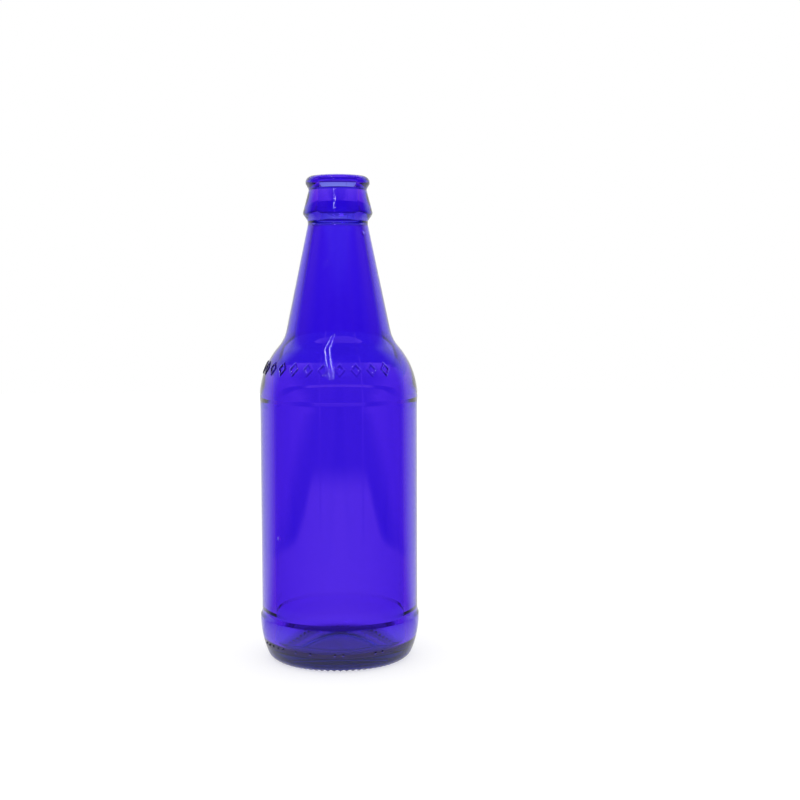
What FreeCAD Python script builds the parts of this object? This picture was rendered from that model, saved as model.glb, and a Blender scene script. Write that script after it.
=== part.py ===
"""Cobalt glass beer bottle with a crown finish, one solid with raised and cut details.

Millimetres. The bottle stands on Z = 0, its axis is the Z axis and its front faces -Y.
"""

import FreeCAD, Part
import math
import os

# overall sizes
bottle_height = 201.4
body_radius = 33.0
body_wall = 5.7

# crown finish, the standard one that takes a 26 mm crown cap, with drops from the top
bore_radius = 8.3
bore_depth = 11.5
bore_edge_round = 1.0
bead_radius = 13.3
bead_drop = 3.2
bead_top_round = 2.6
bead_foot_round = 1.2
under_bead_radius = 11.95
under_bead_drop = 5.5
under_bead_round = 1.5
collar_radius = 14.62
collar_drop = 15.4
collar_round = 2.0
tuck_radius = 12.5
tuck_drop = 18.4
tuck_length = 1.6
tuck_round = 1.4
tuck_blend = 6.0

# shoulder and neck foot
shoulder_width = 10.5
shoulder_slope = 40.7
shoulder_round = 32.0
neck_foot_height = 134.05
neck_foot_round = 15.0
neck_foot_wall = 3.9
inner_foot_drop = 1.2
inner_foot_round = 17.0
inner_shoulder_round = 22.5
inner_bore_blend = 20.0

# slightly sunk panel of the straight body, and the ledge inside where its thick wall ends
panel_recess = 0.15
panel_top_slope = 4.0
panel_bottom_step = 1.6
contact_band = 0.4
step_round = 0.5
ledge_drop = 1.5
ledge_height = 1.6
ledge_depth = 0.38
ledge_round = 2.0

# heel and bearing ring
heel_swell = 0.5
heel_height = 18.4
heel_break_height = 10.5
heel_slope = 20.5
heel_round = 40.0
ring_outer_round = 4.6
ring_inset = 7.9
ring_inner_round = 1.2
ring_inner_slope = 40.0

# concave underside and the floor above it
punt_lip_height = 1.3
punt_lip_round = 1.5
punt_slope_width = 10.0
punt_height = 2.8
punt_round = 30.0
floor_edge_height = 5.0
floor_edge_round = 5.0
floor_slope_width = 14.1
floor_height = 6.5
floor_round = 30.0

# radial grooves across the bearing ring
groove_count = 70
groove_depth = 1.25
groove_radius = 0.85
groove_reach = 3.0

# raised band of open diamonds over the left and front of the shoulder
diamond_count = 12
diamond_last_angle = 37.6
diamond_pitch = 12.3
diamond_width = 4.8
diamond_height = 6.5
diamond_stroke = 1.0
diamond_relief = 0.4
diamond_root = 1.5
diamond_drop = 11.35

# small raised dots low on the heel, as (first angle, count, step) from the front to the right
dot_groups = [(-70.0, 5, 6.0), (-34.0, 2, 12.0), (-4.0, 2, 6.0), (26.0, 2, 6.0)]
dot_height = 8.1
dot_radius = 0.6
dot_relief = 0.45

# radii that follow the body
panel_radius = body_radius - panel_recess
heel_radius = body_radius + heel_swell
inner_radius = panel_radius - body_wall
inner_shoulder_radius = inner_radius + ledge_depth
neck_foot_radius = body_radius - shoulder_width
inner_foot_radius = neck_foot_radius - neck_foot_wall
ring_inner_radius = heel_radius - ring_inset
punt_lip_radius = ring_inner_radius - punt_lip_height / math.tan(math.radians(ring_inner_slope))

# heights that follow the shoulder and the heel
slope_rise = 1 / math.tan(math.radians(shoulder_slope))
shoulder_corner_height = neck_foot_height - shoulder_width * slope_rise
shoulder_arc_height = shoulder_corner_height - shoulder_round * math.tan(
    math.radians(shoulder_slope) / 2
)
panel_slope_top = shoulder_arc_height - contact_band
ledge_foot_height = panel_slope_top - ledge_drop
inner_foot_height = neck_foot_height - inner_foot_drop
inner_shoulder_corner = inner_foot_height - (inner_shoulder_radius - inner_foot_radius) * slope_rise
heel_arc_height = heel_break_height + heel_round * math.tan(math.radians(heel_slope) / 2)

axis_foot = FreeCAD.Vector(0, 0, 0)
axis_up = FreeCAD.Vector(0, 0, 1)


def toVector(point):
    """A (radius, height) point of the section plane."""
    return FreeCAD.Vector(point[0], 0, point[1])


def direction(start, end):
    length = math.dist(start, end)
    return ((end[0] - start[0]) / length, (end[1] - start[1]) / length)


def halfOpening(before, tip, after):
    """Half of the angle between the two sides that meet at a corner."""
    back = direction(tip, before)
    ahead = direction(tip, after)
    cosine = back[0] * ahead[0] + back[1] * ahead[1]
    return math.acos(max(-1.0, min(1.0, cosine))) / 2


def tangentReaches(points, rounds):
    """How far each rounding reaches along its sides, shrunk where a side is too short."""
    reaches = [0.0] * len(points)
    for index in range(1, len(points) - 1):
        half = halfOpening(points[index - 1], points[index], points[index + 1])
        reaches[index] = rounds[index] / math.tan(half)
    for index in range(len(points) - 1):
        room = 0.99 * math.dist(points[index], points[index + 1])
        wanted = reaches[index] + reaches[index + 1]
        if wanted > room:
            reaches[index] *= room / wanted
            reaches[index + 1] *= room / wanted
    return reaches


def roundedOutline(corners):
    """Edges through (radius, height, rounding) corners, each rounded by a tangent arc."""
    points = [corner[:2] for corner in corners]
    reaches = tangentReaches(points, [corner[2] for corner in corners])
    edges = []
    reached = points[0]
    for index in range(1, len(points) - 1):
        tip = points[index]
        back = direction(tip, points[index - 1])
        ahead = direction(tip, points[index + 1])
        half = halfOpening(points[index - 1], tip, points[index + 1])
        reach = reaches[index]
        arc_start = (tip[0] + back[0] * reach, tip[1] + back[1] * reach)
        arc_end = (tip[0] + ahead[0] * reach, tip[1] + ahead[1] * reach)
        depth = reach / math.cos(half) - reach * math.tan(half)
        inward = direction((0, 0), (back[0] + ahead[0], back[1] + ahead[1]))
        arc_middle = (tip[0] + inward[0] * depth, tip[1] + inward[1] * depth)
        edges.append(Part.makeLine(toVector(reached), toVector(arc_start)))
        arc = Part.Arc(toVector(arc_start), toVector(arc_middle), toVector(arc_end))
        edges.append(arc.toShape())
        reached = arc_end
    edges.append(Part.makeLine(toVector(reached), toVector(points[-1])))
    return edges


def fromTop(drop):
    return bottle_height - drop


def undersideCorners():
    """Underside from the middle out to the bearing ring and up the heel."""
    ring_outer_corner = heel_radius - heel_break_height * math.tan(math.radians(heel_slope))
    return [
        (0, punt_height, 0),
        (punt_lip_radius - punt_slope_width, punt_height, punt_round),
        (punt_lip_radius, punt_lip_height, punt_lip_round),
        (ring_inner_radius, 0, ring_inner_round),
        (ring_outer_corner, 0, ring_outer_round),
        (heel_radius, heel_break_height, heel_round),
        (heel_radius, heel_height, step_round),
    ]


def bodyCorners():
    """Panel with a step at its foot and a long slope at its top, shoulder and neck foot."""
    return [
        (panel_radius, heel_height + panel_bottom_step, step_round),
        (panel_radius, panel_slope_top - panel_top_slope, step_round),
        (body_radius, panel_slope_top, step_round),
        (body_radius, shoulder_corner_height, shoulder_round),
        (neck_foot_radius, neck_foot_height, neck_foot_round),
    ]


def finishCorners():
    """Crown finish: tuck, collar, groove under the bead, bead and edge of the mouth."""
    return [
        (tuck_radius, fromTop(tuck_drop + tuck_length), tuck_blend),
        (tuck_radius, fromTop(tuck_drop), tuck_round),
        (collar_radius, fromTop(collar_drop), collar_round),
        (under_bead_radius, fromTop(under_bead_drop), under_bead_round),
        (bead_radius, fromTop(bead_drop), bead_foot_round),
        (bead_radius, bottle_height, bead_top_round),
        (bore_radius, bottle_height, bore_edge_round),
    ]


def insideCorners():
    """Inside of the glass from the bore down to the middle of the floor."""
    return [
        (bore_radius, fromTop(bore_depth), inner_bore_blend),
        (inner_foot_radius, inner_foot_height, inner_foot_round),
        (inner_shoulder_radius, inner_shoulder_corner, inner_shoulder_round),
        (inner_shoulder_radius, ledge_foot_height + ledge_height, ledge_round),
        (inner_radius, ledge_foot_height, ledge_round),
        (inner_radius, floor_edge_height, floor_edge_round),
        (inner_radius - floor_slope_width, floor_height, floor_round),
        (0, floor_height, 0),
    ]


def makeGlass():
    """Section through the glass, turned about the axis."""
    corners = undersideCorners() + bodyCorners() + finishCorners() + insideCorners()
    edges = roundedOutline(corners)
    edges.append(Part.makeLine(toVector(corners[-1][:2]), toVector(corners[0][:2])))
    section = Part.Face(Part.Wire(edges))
    return section.revolve(axis_foot, axis_up, 360)


def turned(shape, angle):
    """A copy of a shape made at the front, turned about the axis to the right."""
    copy = shape.copy()
    copy.rotate(axis_foot, axis_up, angle)
    return copy


def makeGrooves():
    """Round grooves that run outward across the bearing ring, with a land between each two."""
    start_radius = ring_inner_radius - groove_reach
    start = FreeCAD.Vector(0, -start_radius, groove_depth - groove_radius)
    outward = FreeCAD.Vector(0, -1, 0)
    groove = Part.makeCylinder(groove_radius, heel_radius - start_radius, start, outward)
    step = 360.0 / groove_count
    return [turned(groove, (index + 0.5) * step) for index in range(groove_count)]


def diamondPrism(width, height, tilt):
    """A solid diamond through the shoulder surface at the front, square to it."""
    outward = FreeCAD.Vector(0, -math.cos(tilt), math.sin(tilt))
    upward = FreeCAD.Vector(0, math.sin(tilt), math.cos(tilt))
    sideways = FreeCAD.Vector(1, 0, 0)
    arc_centre = FreeCAD.Vector(0, shoulder_round - body_radius, shoulder_arc_height)
    middle = arc_centre + outward * (shoulder_round - 2 * diamond_root)
    tips = [
        middle + sideways * (width / 2),
        middle + upward * (height / 2),
        middle - sideways * (width / 2),
        middle - upward * (height / 2),
    ]
    outline = Part.makePolygon(tips + [tips[0]])
    return Part.Face(outline).extrude(outward * (4 * diamond_root))


def shoulderShell(low, high, half_turn):
    """Thin piece of the shoulder at the front, standing proud by the relief."""
    inside = shoulder_round - diamond_root
    outside = shoulder_round + diamond_relief
    centre_radius = body_radius - shoulder_round

    def arcPoint(radius, tilt):
        along = centre_radius + radius * math.cos(tilt)
        return toVector((along, shoulder_arc_height + radius * math.sin(tilt)))

    middle = (low + high) / 2
    edges = [
        Part.Arc(*[arcPoint(inside, tilt) for tilt in (low, middle, high)]).toShape(),
        Part.makeLine(arcPoint(inside, high), arcPoint(outside, high)),
        Part.Arc(*[arcPoint(outside, tilt) for tilt in (high, middle, low)]).toShape(),
        Part.makeLine(arcPoint(outside, low), arcPoint(inside, low)),
    ]
    section = Part.Face(Part.Wire(edges))
    section.rotate(axis_foot, axis_up, -90 - half_turn)
    return section.revolve(axis_foot, axis_up, 2 * half_turn)


def makeDiamonds():
    """Open diamonds whose tops follow the shoulder at an even relief."""
    flank = math.hypot(diamond_width, diamond_height)
    hollow = 1 - 2 * diamond_stroke * flank / (diamond_width * diamond_height)
    centre_height = neck_foot_height - diamond_drop
    tilt = math.asin((centre_height - shoulder_arc_height) / shoulder_round)
    outer = diamondPrism(diamond_width, diamond_height, tilt)
    inner = diamondPrism(diamond_width * hollow, diamond_height * hollow, tilt)
    tilt_margin = diamond_height / shoulder_round
    half_turn = math.degrees(diamond_width / neck_foot_radius)
    shell = shoulderShell(tilt - tilt_margin, tilt + tilt_margin, half_turn)
    diamond = shell.common(outer.cut(inner))
    angles = [diamond_last_angle - index * diamond_pitch for index in range(diamond_count)]
    return [turned(diamond, angle) for angle in angles]


def makeDots():
    """Low round caps standing square on the heel."""
    ball_radius = (dot_radius ** 2 + dot_relief ** 2) / (2 * dot_relief)
    tilt = math.asin((dot_height - heel_arc_height) / heel_round)
    ball_reach = heel_round + dot_relief - ball_radius
    reach = heel_radius - heel_round + ball_reach * math.cos(tilt)
    height = heel_arc_height + ball_reach * math.sin(tilt)
    outward = FreeCAD.Vector(0, -math.cos(tilt), math.sin(tilt))
    ball = Part.makeSphere(ball_radius, FreeCAD.Vector(0, -reach, height), outward)
    dots = []
    for first_angle, count, step in dot_groups:
        dots += [turned(ball, first_angle + index * step) for index in range(count)]
    return dots


bottle = makeGlass()
bottle = bottle.cut(Part.makeCompound(makeGrooves()))
bottle = bottle.fuse(makeDiamonds() + makeDots())

os.makedirs("parts", exist_ok=True)
bottle.exportStep("parts/bottle.step")
print("glass", round(bottle.Volume / 1000, 2), "cm3 in", len(bottle.Solids), "solid")
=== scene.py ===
import bpy, bmesh, math
from mathutils import Vector, Matrix


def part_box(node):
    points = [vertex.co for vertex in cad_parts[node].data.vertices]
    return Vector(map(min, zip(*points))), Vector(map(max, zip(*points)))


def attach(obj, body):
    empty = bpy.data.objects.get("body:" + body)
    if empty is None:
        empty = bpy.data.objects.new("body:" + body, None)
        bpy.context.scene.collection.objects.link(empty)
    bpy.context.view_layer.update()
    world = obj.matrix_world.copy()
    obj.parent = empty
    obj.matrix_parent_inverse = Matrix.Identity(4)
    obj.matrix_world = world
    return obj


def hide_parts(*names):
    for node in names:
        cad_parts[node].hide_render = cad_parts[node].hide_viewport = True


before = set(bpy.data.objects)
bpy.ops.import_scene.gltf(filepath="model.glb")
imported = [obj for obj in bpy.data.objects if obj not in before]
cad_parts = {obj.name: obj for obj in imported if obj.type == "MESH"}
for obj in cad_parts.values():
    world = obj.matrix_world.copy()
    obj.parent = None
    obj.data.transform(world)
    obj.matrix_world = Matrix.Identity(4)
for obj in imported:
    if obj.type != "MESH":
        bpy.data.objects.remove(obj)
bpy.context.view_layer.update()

mm = 0.001
bottleLow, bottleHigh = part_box("bottle")


def addNode(tree, kind, inputs=(), output=0, **settings):
    # inputs go in by order or by name: a socket is linked, anything else is set
    node = tree.nodes.new(kind)
    for key, value in settings.items():
        setattr(node, key, value)
    for key, value in (inputs.items() if isinstance(inputs, dict) else enumerate(inputs)):
        if isinstance(value, bpy.types.NodeSocket):
            tree.links.new(value, node.inputs[key])
        else:
            node.inputs[key].default_value = value
    return node.outputs[output] if node.outputs else None


softEnds = {"interpolation_type": "SMOOTHSTEP"}  # for a map range
colorMix = {"data_type": "RGBA", "output": 2}  # for a mix: the share is input 0, the colours are 6 and 7


def toLinear(hexText):
    channels = [int(hexText[i:i + 2], 16) / 255 for i in (1, 3, 5)]
    linear = [c / 12.92 if c <= 0.04045 else ((c + 0.055) / 1.055) ** 2.4 for c in channels]
    return (*linear, 1.0)


def smoothStep(low, high, value):
    t = min(1.0, max(0.0, (value - low) / (high - low)))
    return t * t * (3 - 2 * t)


# outline of the glass, in millimetres: a Round is the radius of a rounded corner
glassShape = {
    "height": (bottleHigh[2] - bottleLow[2]) / mm,
    "bodyRadius": 33.0, "bodyWall": 5.7,
    "boreRadius": 8.3, "boreDepth": 11.5, "boreEdgeRound": 1.0,
    "beadRadius": 13.3, "beadDrop": 3.2, "beadTopRound": 2.6, "beadFootRound": 1.2,
    "underBeadRadius": 11.95, "underBeadDrop": 5.5, "underBeadRound": 1.5,
    "collarRadius": 14.62, "collarDrop": 15.4, "collarRound": 2.0,
    "tuckRadius": 12.5, "tuckDrop": 18.4, "tuckLength": 1.6, "tuckRound": 1.4, "tuckBlend": 6.0,
    "shoulderWidth": 10.5, "shoulderSlope": 40.7, "shoulderRound": 32.0,
    "neckFootHeight": 134.05, "neckFootRound": 15.0, "neckFootWall": 3.9,
    "innerFootDrop": 1.2, "innerFootRound": 17.0, "innerShoulderRound": 22.5, "innerBoreBlend": 20.0,
    "panelRecess": 0.15, "panelTopSlope": 4.0, "panelBottomStep": 1.6, "contactBand": 0.4, "stepRound": 0.5,
    "ledgeDrop": 1.5, "ledgeHeight": 1.6, "ledgeDepth": 0.38, "ledgeRound": 2.0,
    "heelSwell": 0.5, "heelHeight": 18.4, "heelBreak": 10.5, "heelSlope": 20.5, "heelRound": 40.0,
    "ringOuterRound": 4.6, "ringInset": 7.9, "ringInnerRound": 1.2, "ringInnerSlope": 40.0,
    "puntLip": 1.3, "puntLipRound": 1.5, "puntWidth": 10.0, "puntHeight": 2.8, "puntRound": 30.0,
    "floorEdge": 5.0, "floorEdgeRound": 5.0, "floorWidth": 14.1, "floorHeight": 6.5, "floorRound": 30.0,
}


def outlineCorners(s):
    # each is (radius, height, round): from the middle of the underside, up the outside,
    # over the mouth and down to the floor
    slope = math.tan(math.radians(s["shoulderSlope"]))
    panel = s["bodyRadius"] - s["panelRecess"]
    heel = s["bodyRadius"] + s["heelSwell"]
    inner = panel - s["bodyWall"]
    neckFoot = s["bodyRadius"] - s["shoulderWidth"]
    innerFoot = neckFoot - s["neckFootWall"]
    ringInner = heel - s["ringInset"]
    ringOuter = heel - s["heelBreak"] * math.tan(math.radians(s["heelSlope"]))
    lip = ringInner - s["puntLip"] / math.tan(math.radians(s["ringInnerSlope"]))
    shoulderCorner = s["neckFootHeight"] - s["shoulderWidth"] / slope
    arcHeight = shoulderCorner - s["shoulderRound"] * math.tan(math.radians(s["shoulderSlope"]) / 2)
    panelSlopeTop = arcHeight - s["contactBand"]
    ledgeFoot = panelSlopeTop - s["ledgeDrop"]
    innerShoulder = inner + s["ledgeDepth"]
    innerFootHeight = s["neckFootHeight"] - s["innerFootDrop"]
    innerShoulderHeight = innerFootHeight - (innerShoulder - innerFoot) / slope
    top = s["height"]
    return [
        (0, s["puntHeight"], 0),
        (lip - s["puntWidth"], s["puntHeight"], s["puntRound"]),
        (lip, s["puntLip"], s["puntLipRound"]),
        (ringInner, 0, s["ringInnerRound"]),
        (ringOuter, 0, s["ringOuterRound"]),
        (heel, s["heelBreak"], s["heelRound"]),
        (heel, s["heelHeight"], s["stepRound"]),
        (panel, s["heelHeight"] + s["panelBottomStep"], s["stepRound"]),
        (panel, panelSlopeTop - s["panelTopSlope"], s["stepRound"]),
        (s["bodyRadius"], panelSlopeTop, s["stepRound"]),
        (s["bodyRadius"], shoulderCorner, s["shoulderRound"]),
        (neckFoot, s["neckFootHeight"], s["neckFootRound"]),
        (s["tuckRadius"], top - s["tuckDrop"] - s["tuckLength"], s["tuckBlend"]),
        (s["tuckRadius"], top - s["tuckDrop"], s["tuckRound"]),
        (s["collarRadius"], top - s["collarDrop"], s["collarRound"]),
        (s["underBeadRadius"], top - s["underBeadDrop"], s["underBeadRound"]),
        (s["beadRadius"], top - s["beadDrop"], s["beadFootRound"]),
        (s["beadRadius"], top, s["beadTopRound"]),
        (s["boreRadius"], top, s["boreEdgeRound"]),
        (s["boreRadius"], top - s["boreDepth"], s["innerBoreBlend"]),
        (innerFoot, innerFootHeight, s["innerFootRound"]),
        (innerShoulder, innerShoulderHeight, s["innerShoulderRound"]),
        (innerShoulder, ledgeFoot + s["ledgeHeight"], s["ledgeRound"]),
        (inner, ledgeFoot, s["ledgeRound"]),
        (inner, s["floorEdge"], s["floorEdgeRound"]),
        (inner - s["floorWidth"], s["floorHeight"], s["floorRound"]),
        (0, s["floorHeight"], 0),
    ]


# how close the points stand: a turn in degrees and steps in millimetres, with at least so many to an arc
outlineDetail = {"arcTurn": 6.0, "arcStep": 1.2, "lineStep": 4.0, "arcLeast": 3}


def roundedOutline(corners, detail):
    # points along the outline: straight pieces and tangent arcs, close together on the arcs
    points = [Vector(corners[0][:2])]

    def runTo(target):
        start = points[-1].copy()
        count = max(1, math.ceil((target - start).length / detail["lineStep"]))
        for i in range(1, count + 1):
            points.append(start.lerp(target, i / count))

    for (before, corner, after) in zip(corners, corners[1:], corners[2:]):
        tip, radius = Vector(corner[:2]), corner[2]
        back = (Vector(before[:2]) - tip).normalized()
        ahead = (Vector(after[:2]) - tip).normalized()
        half = back.angle(ahead) / 2
        centre = tip + (back + ahead).normalized() * (radius / math.sin(half))
        runTo(tip + back * (radius / math.tan(half)))
        startArm = points[-1] - centre
        turn = math.pi - 2 * half
        side = 1 if back.cross(ahead) < 0 else -1
        byTurn = math.ceil(math.degrees(turn) / detail["arcTurn"])
        byLength = math.ceil(turn * radius / detail["arcStep"])
        steps = max(detail["arcLeast"], byTurn, byLength)
        for i in range(1, steps + 1):
            sine, cosine = math.sin(side * turn * i / steps), math.cos(side * turn * i / steps)
            arm = (startArm.x * cosine - startArm.y * sine, startArm.x * sine + startArm.y * cosine)
            points.append(centre + Vector(arm))
    runTo(Vector(corners[-1][:2]))
    return points


# relief: grooves across the bearing ring, open diamonds on the shoulder, dots low on the heel
grooveRelief = {"count": 70, "depth": 1.25, "radius": 0.85, "fromRadius": 23}
diamondRelief = {
    "count": 12, "lastAngle": 37.6, "pitch": 12.3, "width": 4.8, "height": 6.5,
    "stroke": 1.0, "rise": 0.4, "flank": 0.35, "centreDrop": 11.35, "reach": 3.1, "fromRadius": 20,
}
dotRelief = {
    "groups": [(-70, 5, 6), (-34, 2, 12), (-4, 2, 6), (26, 2, 6)],  # first angle, count, step
    "height": 8.1, "radius": 0.6, "rise": 0.45, "crown": 0.35, "reach": 0.8, "fromRadius": 29,
}
diamondMiddle = glassShape["neckFootHeight"] - diamondRelief["centreDrop"]
dotAngles = [math.radians(first + i * step)
             for first, count, step in dotRelief["groups"] for i in range(count)]


def grooveLift(radius, height, angle):
    # how far the underside is lifted into a groove
    g = grooveRelief
    pitch = 2 * math.pi / g["count"]
    fromLand = (angle / pitch) % 1.0
    across = abs(fromLand - 0.5) * pitch * radius
    if across >= g["radius"]:
        return 0.0
    top = g["depth"] - g["radius"] + math.sqrt(g["radius"] ** 2 - across ** 2)
    return max(0.0, top - height)


def diamondRise(radius, alongShoulder, angle):
    d = diamondRelief
    nearest = round((d["lastAngle"] - math.degrees(angle)) / d["pitch"])
    nearest = min(d["count"] - 1, max(0, nearest))
    sideways = radius * (angle - math.radians(d["lastAngle"] - nearest * d["pitch"]))
    apothem = d["width"] * d["height"] / 2 / math.hypot(d["width"], d["height"])
    spread = 2 * abs(sideways) / d["width"] + 2 * abs(alongShoulder) / d["height"]
    fromEdge = (1 - spread) * apothem
    outerFlank = smoothStep(0, d["flank"], fromEdge)
    innerFlank = 1 - smoothStep(d["stroke"] - d["flank"], d["stroke"], fromEdge)
    return d["rise"] * outerFlank * innerFlank


def dotRise(radius, height, angle):
    d = dotRelief
    nearest = min(math.hypot(radius * (angle - dotAngle), height - d["height"]) for dotAngle in dotAngles)
    return d["rise"] * (1 - smoothStep(d["crown"], 1.0, nearest / d["radius"]))


# faces round the bottle, and in millimetres how close the rings stand where they carry relief
meshDetail = {
    "plainFaces": 140, "ringFaces": 560, "reliefFaces": 1120,
    "diamondStep": 0.32, "dotStep": 0.25, "grooveStep": 0.3,
    "grooveTop": 1.7, "grooveFrom": 23.5, "ringTop": 5,
}
print("scene.py: outline and relief set")


def facesRound(point, outside):
    d = meshDetail
    nearDiamonds = abs(point.y - diamondMiddle) < diamondRelief["reach"]
    nearDots = abs(point.y - dotRelief["height"]) < dotRelief["reach"]
    if outside and (nearDiamonds or nearDots):
        return d["reliefFaces"]
    if outside and point.y < d["ringTop"] and point.x > grooveRelief["fromRadius"]:
        return d["ringFaces"]
    return d["plainFaces"]


def denser(points, low, high, step, fromRadius):
    # extra points where the outline crosses a band that carries relief
    result = [points[0]]
    for a, b in zip(points, points[1:]):
        inBand = low <= max(a.y, b.y) and min(a.y, b.y) <= high and min(a.x, b.x) > fromRadius
        count = max(1, math.ceil((b - a).length / step)) if inBand else 1
        result += [a.lerp(b, i / count) for i in range(1, count + 1)]
    return result


def outsideRelief(point, outward, along, angle):
    # where a point of the outside ends up once the relief is on it
    radius, height = point
    rise = 0.0
    if abs(height - diamondMiddle) < diamondRelief["reach"] and radius > diamondRelief["fromRadius"]:
        rise = diamondRise(radius, (height - diamondMiddle) / along.y, angle)
    if abs(height - dotRelief["height"]) < dotRelief["reach"] and radius > dotRelief["fromRadius"]:
        rise = dotRise(radius, height, angle)
    raised = point + outward * rise
    if height < grooveRelief["depth"] and radius > grooveRelief["fromRadius"]:
        raised.y += grooveLift(radius, height, angle)
    return raised


def joinRings(mesh, a, b):
    # faces between two rings: equal counts, one twice the other, or a single point
    if len(a) == 1 or len(b) == 1:
        tip, ring = (a[0], b) if len(a) == 1 else (b[0], a)
        for j in range(len(ring)):
            mesh.faces.new((tip, ring[j], ring[(j + 1) % len(ring)]))
        return
    if len(a) == len(b):
        for j in range(len(a)):
            k = (j + 1) % len(a)
            mesh.faces.new((a[j], a[k], b[k], b[j]))
        return
    wide, narrow = (a, b) if len(a) > len(b) else (b, a)
    for j in range(len(narrow)):
        k = (j + 1) % len(narrow)
        w0, w1, w2 = wide[2 * j], wide[2 * j + 1], wide[(2 * j + 2) % len(wide)]
        mesh.faces.new((narrow[j], w0, w1))
        mesh.faces.new((narrow[j], w1, narrow[k]))
        mesh.faces.new((narrow[k], w1, w2))


def buildBottle():
    d = meshDetail
    points = roundedOutline(outlineCorners(glassShape), outlineDetail)
    topIndex = max(range(len(points)), key=lambda i: points[i].y)
    outside, inside = points[:topIndex + 1], points[topIndex + 1:]
    for middle, step, relief in ((diamondMiddle, d["diamondStep"], diamondRelief),
                                 (dotRelief["height"], d["dotStep"], dotRelief)):
        low, high = middle - relief["reach"], middle + relief["reach"]
        outside = denser(outside, low, high, step, relief["fromRadius"])
    outside = denser(outside, 0.0, d["grooveTop"], d["grooveStep"], d["grooveFrom"])
    points = outside + inside
    counts = [facesRound(p, i < len(outside)) for i, p in enumerate(points)]
    # from ring to ring the count at most doubles or halves
    for i in range(1, len(counts)):
        counts[i] = max(counts[i], counts[i - 1] // 2)
    for i in range(len(counts) - 2, -1, -1):
        counts[i] = max(counts[i], counts[i + 1] // 2)

    mesh = bmesh.new()
    rings = []
    for i, (point, count) in enumerate(zip(points, counts)):
        if i in (0, len(points) - 1):
            rings.append([mesh.verts.new((0, 0, point.y * mm))])
            continue
        along = (points[i + 1] - points[i - 1]).normalized()
        outward = Vector((along.y, -along.x))
        ring = []
        for j in range(count):
            angle = 2 * math.pi * j / count
            if angle > math.pi:
                angle -= 2 * math.pi
            placed = outsideRelief(point, outward, along, angle) if i < len(outside) else point
            corner = (placed.x * math.sin(angle) * mm, -placed.x * math.cos(angle) * mm, placed.y * mm)
            ring.append(mesh.verts.new(corner))
        rings.append(ring)
    for a, b in zip(rings, rings[1:]):
        joinRings(mesh, a, b)
    bmesh.ops.recalc_face_normals(mesh, faces=mesh.faces)
    data = bpy.data.meshes.new("bottleGlass")
    mesh.to_mesh(data)
    mesh.free()
    data.polygons.foreach_set("use_smooth", [True] * len(data.polygons))
    # the glass material reads this to keep seams and scuffs off the inside
    outerPoints = sum(len(ring) for ring in rings[:len(outside)])
    outer = data.attributes.new("outer", "FLOAT", "POINT")
    outer.data.foreach_set("value", [1.0 if i < outerPoints else 0.0 for i in range(len(data.vertices))])
    bottle = bpy.data.objects.new("bottleGlass", data)
    bpy.context.collection.objects.link(bottle)
    print("bottle mesh:", len(data.vertices), "points,", len(data.polygons), "faces")
    return bottle


# cobalt soda-lime glass, blown in a mould of two halves: deep clear blue that turns pale where it is thin
# at the edges, a faint ripple, and a fine line where the halves met
cobaltGlass = {
    "ior": 1.52, "roughness": 0.0, "tint": "#cbcbff", "absorbed": "#b400f2", "density": 245.0,
    # low relief, in millimetres: the mould seam, waves in the wall, and scuffs by place and radius
    "seamAngle": 16.9, "seamWidth": 0.3, "seamRise": 0.06,
    "rippleSize": (18.18, 18.18, 111.1), "rippleDetail": 1.0, "rippleRise": 0.09,
    "scuffs": [(-5.0, -15.1, 165.2, 2.2), (10.3, -8.4, 177.8, 1.3), (-24.6, -21.8, 53.8, 1.3)],
    # real scratches are finer: these stand 0.714 mm apart, as coarse as they need to show
    "scuffSize": 0.714, "scuffDetail": 2.0, "scuffRise": 0.3,
}


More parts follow.
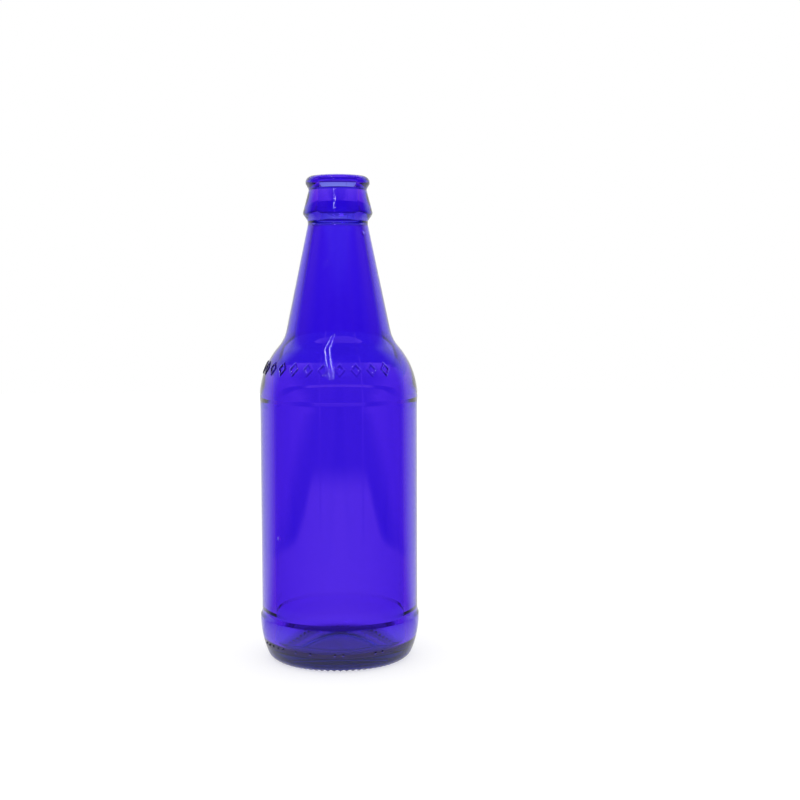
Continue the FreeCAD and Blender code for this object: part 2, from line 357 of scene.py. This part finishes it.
def makeCobaltGlass(s):
    material = bpy.data.materials.new("cobaltSodaLimeGlass")
    material.use_nodes = True
    tree = material.node_tree
    tree.nodes.clear()
    place = addNode(tree, "ShaderNodeTexCoord", output="Object")
    outer = addNode(tree, "ShaderNodeAttribute", output="Fac", attribute_name="outer")
    # mould seam, down the front right and the back left
    turn = -math.radians(s["seamAngle"])
    turned = addNode(tree, "ShaderNodeVectorRotate", {"Vector": place, "Angle": turn},
                     rotation_type="Z_AXIS")
    aside = addNode(tree, "ShaderNodeSeparateXYZ", [turned])
    aside = addNode(tree, "ShaderNodeMath", [aside], operation="ABSOLUTE")
    marks = addNode(tree, "ShaderNodeMapRange", [
        aside, 0.0, s["seamWidth"] * mm, s["seamRise"] * mm, 0.0], **softEnds)
    # scuffs of handling: small patches of scratched glass
    grain = addNode(tree, "ShaderNodeTexNoise", {
        "Vector": place, "Scale": 1 / (s["scuffSize"] * mm), "Detail": s["scuffDetail"]}, "Fac")
    for x, y, z, size in s["scuffs"]:
        middle = (x * mm, y * mm, z * mm)
        away = addNode(tree, "ShaderNodeVectorMath", [place, middle], "Value", operation="DISTANCE")
        patch = addNode(tree, "ShaderNodeMapRange", [
            away, 0.0, size * mm, s["scuffRise"] * mm, 0.0], **softEnds)
        scratches = addNode(tree, "ShaderNodeMath", [patch, grain], operation="MULTIPLY")
        marks = addNode(tree, "ShaderNodeMath", [marks, scratches], operation="ADD")
    marks = addNode(tree, "ShaderNodeMath", [marks, outer], operation="MULTIPLY")
    # waviness of the blown wall, long up and down
    perMetre = [1 / (size * mm) for size in s["rippleSize"]]
    stretched = addNode(tree, "ShaderNodeMapping", {"Vector": place, "Scale": perMetre})
    ripple = addNode(tree, "ShaderNodeTexNoise", {
        "Vector": stretched, "Scale": 1.0, "Detail": s["rippleDetail"]}, "Fac")
    ripple = addNode(tree, "ShaderNodeMath", [ripple, s["rippleRise"] * mm], operation="MULTIPLY")
    height = addNode(tree, "ShaderNodeMath", [ripple, marks], operation="ADD")
    relief = addNode(tree, "ShaderNodeBump", {"Distance": 1.0, "Height": height})  # heights are in metres
    surface = addNode(tree, "ShaderNodeBsdfPrincipled", {
        "Base Color": toLinear(s["tint"]), "Roughness": s["roughness"], "IOR": s["ior"],
        "Transmission Weight": 1.0, "Normal": relief})
    absorption = addNode(tree, "ShaderNodeVolumeAbsorption",
                         {"Color": toLinear(s["absorbed"]), "Density": s["density"]})
    addNode(tree, "ShaderNodeOutputMaterial", {"Surface": surface, "Volume": absorption})
    return material


bottle = buildBottle()
bottle.data.materials.append(makeCobaltGlass(cobaltGlass))
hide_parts("bottle")
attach(bottle, "root")
print("scene.py: bottle in cobalt glass")


# reflections of the white surroundings: dark on the camera's side, so the front of the glass has no haze
whiteMirror = {"front": 0.05, "back": 0.95, "from": 0.12, "to": 0.62}


def mirrorLevel(tree, depth):
    # depth is how far towards the back a place lies, as a share of its distance
    s = whiteMirror
    return addNode(tree, "ShaderNodeMapRange", [depth, s["from"], s["to"], s["front"], s["back"]],
                   **softEnds)


# uncoated white paper, pressed matt: an even soft white with a trace of fibre
paperFloor = {
    "size": 3.0, "paper": "#c5c5c5", "paperDeep": "#c3c3c3", "glow": 0.62,
    # real fibres are far finer: these clumps are 1.11 mm across, as coarse as they need to show
    "fibreSize": 1.11, "fibreDetail": 3.0,
    # painted light and shade that shows only through the glass: a painted pool of light, a bright disc with
    # four arms, on painted lavender shade
    "light": 1.12, "bright": "#fbfbff", "pale": "#ebdcff", "shade": "#ae92f2",
    "discRadius": 0.24, "discEdge": 8.0, "armHalfWidth": 0.06, "armEdge": 4.0, "armEnd": (0.43, 0.64),
    "brightShare": (0.55, 1.75), "shadeReach": (0.07, 0.17),
    # under the bottle little light arrives, and what does comes in from behind
    "footFront": 0.10, "footBack": 0.42, "footMiddle": (0.002, 0.012), "footEdge": (0.028, 0.038),
    "mirrorFoot": 0.8, "mirrorFootReach": (0.05, 0.15),
}


def makeFloor(s):
    half = s["size"] / 2
    data = bpy.data.meshes.new("paperFloor")
    corners = [(-half, -half, 0), (half, -half, 0), (half, half, 0), (-half, half, 0)]
    data.from_pydata(corners, [], [(0, 1, 2, 3)])
    floor = bpy.data.objects.new("paperFloor", data)
    floor.location = (0, 0, bottleLow[2])
    bpy.context.collection.objects.link(floor)
    material = bpy.data.materials.new("whitePaper")
    material.use_nodes = True
    tree = material.node_tree
    tree.nodes.clear()
    place = addNode(tree, "ShaderNodeTexCoord", output="Object")
    distance = addNode(tree, "ShaderNodeVectorMath", [place], "Value", operation="LENGTH")
    depth = addNode(tree, "ShaderNodeSeparateXYZ", [place], "Y")
    unsigned = addNode(tree, "ShaderNodeVectorMath", [place], operation="ABSOLUTE")
    across = addNode(tree, "ShaderNodeSeparateXYZ", [unsigned]).node.outputs
    nearAxis = addNode(tree, "ShaderNodeMath", [across["X"], across["Y"]], operation="MINIMUM")
    farAxis = addNode(tree, "ShaderNodeMath", [across["X"], across["Y"]], operation="MAXIMUM")

    # painted pool of light: a bright disc with four arms along the axes
    disc = addNode(tree, "ShaderNodeMath", [s["discRadius"], distance], operation="DIVIDE")
    disc = addNode(tree, "ShaderNodeMath", [disc, s["discEdge"]], operation="POWER")
    arm = addNode(tree, "ShaderNodeMath", [nearAxis, mm], operation="ADD")  # never zero
    arm = addNode(tree, "ShaderNodeMath", [s["armHalfWidth"], arm], operation="DIVIDE")
    arm = addNode(tree, "ShaderNodeMath", [arm, s["armEdge"]], operation="POWER")
    brightShare = addNode(tree, "ShaderNodeMath", [arm, disc], operation="ADD")
    brightShare = addNode(tree, "ShaderNodeMapRange", [brightShare, *s["brightShare"]], **softEnds)
    armReach = addNode(tree, "ShaderNodeMapRange", [farAxis, *s["armEnd"], 1.0, 0.0], **softEnds)
    brightShare = addNode(tree, "ShaderNodeMath", [brightShare, armReach], operation="MULTIPLY")
    # painted lavender shade towards the axes beyond the disc, paler further out
    paleShare = addNode(tree, "ShaderNodeMapRange", [nearAxis, *s["shadeReach"]], **softEnds)
    ground = addNode(tree, "ShaderNodeMix", {
        0: paleShare, 6: toLinear(s["shade"]), 7: toLinear(s["pale"])}, **colorMix)
    ground = addNode(tree, "ShaderNodeMix", {0: brightShare, 6: ground, 7: toLinear(s["bright"])},
                     **colorMix)
    # painted shadow under the bottle, deeper at the front than at the back
    under = addNode(tree, "ShaderNodeMapRange", [depth, *s["footMiddle"], s["footFront"], s["footBack"]],
                    **softEnds)
    level = addNode(tree, "ShaderNodeMapRange", [distance, *s["footEdge"], under, s["light"]],
                    **softEnds)
    throughGlass = addNode(tree, "ShaderNodeEmission", [ground, level])

    fibre = addNode(tree, "ShaderNodeTexNoise", {
        "Scale": 1 / (s["fibreSize"] * mm), "Detail": s["fibreDetail"]}, "Fac")
    paper = addNode(tree, "ShaderNodeMix", {
        0: fibre, 6: toLinear(s["paper"]), 7: toLinear(s["paperDeep"])}, **colorMix)
    paper = addNode(tree, "ShaderNodeBsdfDiffuse", [paper])
    glow = addNode(tree, "ShaderNodeEmission", {"Strength": s["glow"]})
    plain = addNode(tree, "ShaderNodeAddShader", [paper, glow])

    depthShare = addNode(tree, "ShaderNodeMath", [depth, distance], operation="DIVIDE")
    nearFoot = addNode(tree, "ShaderNodeMapRange", [distance, *s["mirrorFootReach"], s["mirrorFoot"], 0.0],
                       **softEnds)
    mirror = addNode(tree, "ShaderNodeMath", [nearFoot, mirrorLevel(tree, depthShare)], operation="MAXIMUM")
    mirrored = addNode(tree, "ShaderNodeEmission", {"Strength": mirror})

    rays = addNode(tree, "ShaderNodeLightPath").node.outputs
    shown = addNode(tree, "ShaderNodeMixShader", [rays["Is Glossy Ray"], plain, mirrored])
    shown = addNode(tree, "ShaderNodeMixShader", [rays["Is Transmission Ray"], shown, throughGlass])
    addNode(tree, "ShaderNodeOutputMaterial", {"Surface": shown})
    data.materials.append(material)


makeFloor(paperFloor)


# white studio room: through the glass its walls show painted violet light and shade, painted shade towards
# the axes, with a dim stretch, a darker band and a pale ceiling light, each from and to a height that is
# the sine of the angle above the horizon
studioRoom = {
    "light": 0.9, "wallPaintedLight": "#9a66f2", "wallPaintedShade": "#803ef9", "shadeReach": (0.10, 0.24),
    "dusk": (0.07, 0.15), "duskLight": 0.7, "band": (0.22, 0.25), "bandLight": 0.38,
    "ceilingLight": "#c4fffa", "ceilingFrom": (0.31, 0.35),
}


def makeRoom(s):
    world = bpy.data.worlds.new("whiteRoom")
    bpy.context.scene.world = world
    world.use_nodes = True
    tree = world.node_tree
    tree.nodes.clear()
    look = addNode(tree, "ShaderNodeTexCoord", output="Generated")
    way = addNode(tree, "ShaderNodeSeparateXYZ", [look]).node.outputs
    unsigned = addNode(tree, "ShaderNodeVectorMath", [look], operation="ABSOLUTE")
    across = addNode(tree, "ShaderNodeSeparateXYZ", [unsigned]).node.outputs
    nearAxis = addNode(tree, "ShaderNodeMath", [across["X"], across["Y"]], operation="MINIMUM")

    # painted shade towards the axes, paler painted light between them
    paleShare = addNode(tree, "ShaderNodeMapRange", [nearAxis, *s["shadeReach"]], **softEnds)
    walls = addNode(tree, "ShaderNodeMix", {
        0: paleShare, 6: toLinear(s["wallPaintedShade"]), 7: toLinear(s["wallPaintedLight"])}, **colorMix)
    # painted dimming: a dim stretch above the horizon and a darker band higher up
    dusk = addNode(tree, "ShaderNodeMapRange", [way["Z"], *s["dusk"], 1.0, s["duskLight"]], **softEnds)
    band = addNode(tree, "ShaderNodeMapRange", [way["Z"], *s["band"], 1.0, s["bandLight"]], **softEnds)
    level = addNode(tree, "ShaderNodeMath", [dusk, band], operation="MULTIPLY")
    walls = addNode(tree, "ShaderNodeVectorMath", {"Vector": walls, "Scale": level}, operation="SCALE")
    # painted pale light from high up
    ceilingShare = addNode(tree, "ShaderNodeMapRange", [way["Z"], *s["ceilingFrom"]], **softEnds)
    walls = addNode(tree, "ShaderNodeMix", {0: ceilingShare, 6: walls, 7: toLinear(s["ceilingLight"])},
                    **colorMix)

    white = toLinear("#ffffff")
    rays = addNode(tree, "ShaderNodeLightPath").node.outputs
    shown = addNode(tree, "ShaderNodeBackground", [white, s["light"]])
    mirrored = addNode(tree, "ShaderNodeBackground", [white, mirrorLevel(tree, way["Y"])])
    throughGlass = addNode(tree, "ShaderNodeBackground", [walls, 1.0])
    seen = addNode(tree, "ShaderNodeBackground", [white, 1.0])
    for kind, shader in (("Glossy", mirrored), ("Transmission", throughGlass), ("Camera", seen)):
        shown = addNode(tree, "ShaderNodeMixShader", [rays[f"Is {kind} Ray"], shown, shader])
    addNode(tree, "ShaderNodeOutputWorld", {"Surface": shown})


makeRoom(studioRoom)


# two strip lamps high up on the camera's left: thin double glints on the lip, the collar and the shoulder
stripLamps = {
    "lowEnd": (-0.30, -1.20, 0.80), "highEnd": (-0.37, -0.15, 1.48), "apart": 0.12,
    "width": 0.012, "watts": 0.8, "aimShare": 0.7,
}


def makeLamps(s):
    aim = Vector((0, 0, bottleHigh[2] * s["aimShare"]))
    for index in range(2):
        shift = Vector((index * s["apart"], 0, 0))
        low, high = Vector(s["lowEnd"]) + shift, Vector(s["highEnd"]) + shift
        middle = (low + high) / 2
        data = bpy.data.lights.new(f"stripLamp{index}", "AREA")
        data.shape = "RECTANGLE"
        data.size, data.size_y = s["width"], (high - low).length
        data.energy = s["watts"]
        along = (high - low).normalized()
        side = along.cross(middle - aim).normalized()
        lamp = bpy.data.objects.new(f"stripLamp{index}", data)
        turn = Matrix((side, along, side.cross(along))).transposed()
        lamp.matrix_world = Matrix.Translation(middle) @ turn.to_4x4()
        lamp.visible_diffuse = False
        bpy.context.collection.objects.link(lamp)


makeLamps(stripLamps)


# angles in degrees, lens and sensor in millimetres, the rest in metres
cameraPlace = {
    "distance": 0.545, "height": 0.1521, "pitch": 4.59, "yaw": 2.70, "roll": -0.12,
    "lens": 58.5, "sensor": 36, "nearest": 0.01,
}


def makeCamera(s):
    data = bpy.data.cameras.new("camera")
    camera = bpy.data.objects.new("camera", data)
    data.sensor_width, data.lens, data.clip_start = s["sensor"], s["lens"], s["nearest"]
    pitch, yaw, roll = (math.radians(s[key]) for key in ("pitch", "yaw", "roll"))
    look = Vector((math.sin(yaw) * math.cos(pitch), math.cos(yaw) * math.cos(pitch), -math.sin(pitch)))
    right = Vector((math.cos(yaw), -math.sin(yaw), 0))
    up = right.cross(look)
    rolledRight = right * math.cos(roll) + up * math.sin(roll)
    rolledUp = up * math.cos(roll) - right * math.sin(roll)
    turn = Matrix((rolledRight, rolledUp, -look)).transposed()
    place = Vector((0, -s["distance"], bottleLow[2] + s["height"]))
    camera.matrix_world = Matrix.Translation(place) @ turn.to_4x4()
    bpy.context.collection.objects.link(camera)
    bpy.context.scene.camera = camera


makeCamera(cameraPlace)
bpy.context.scene.view_settings.view_transform = "Standard"
print("scene.py: floor, room, lamps and camera set")
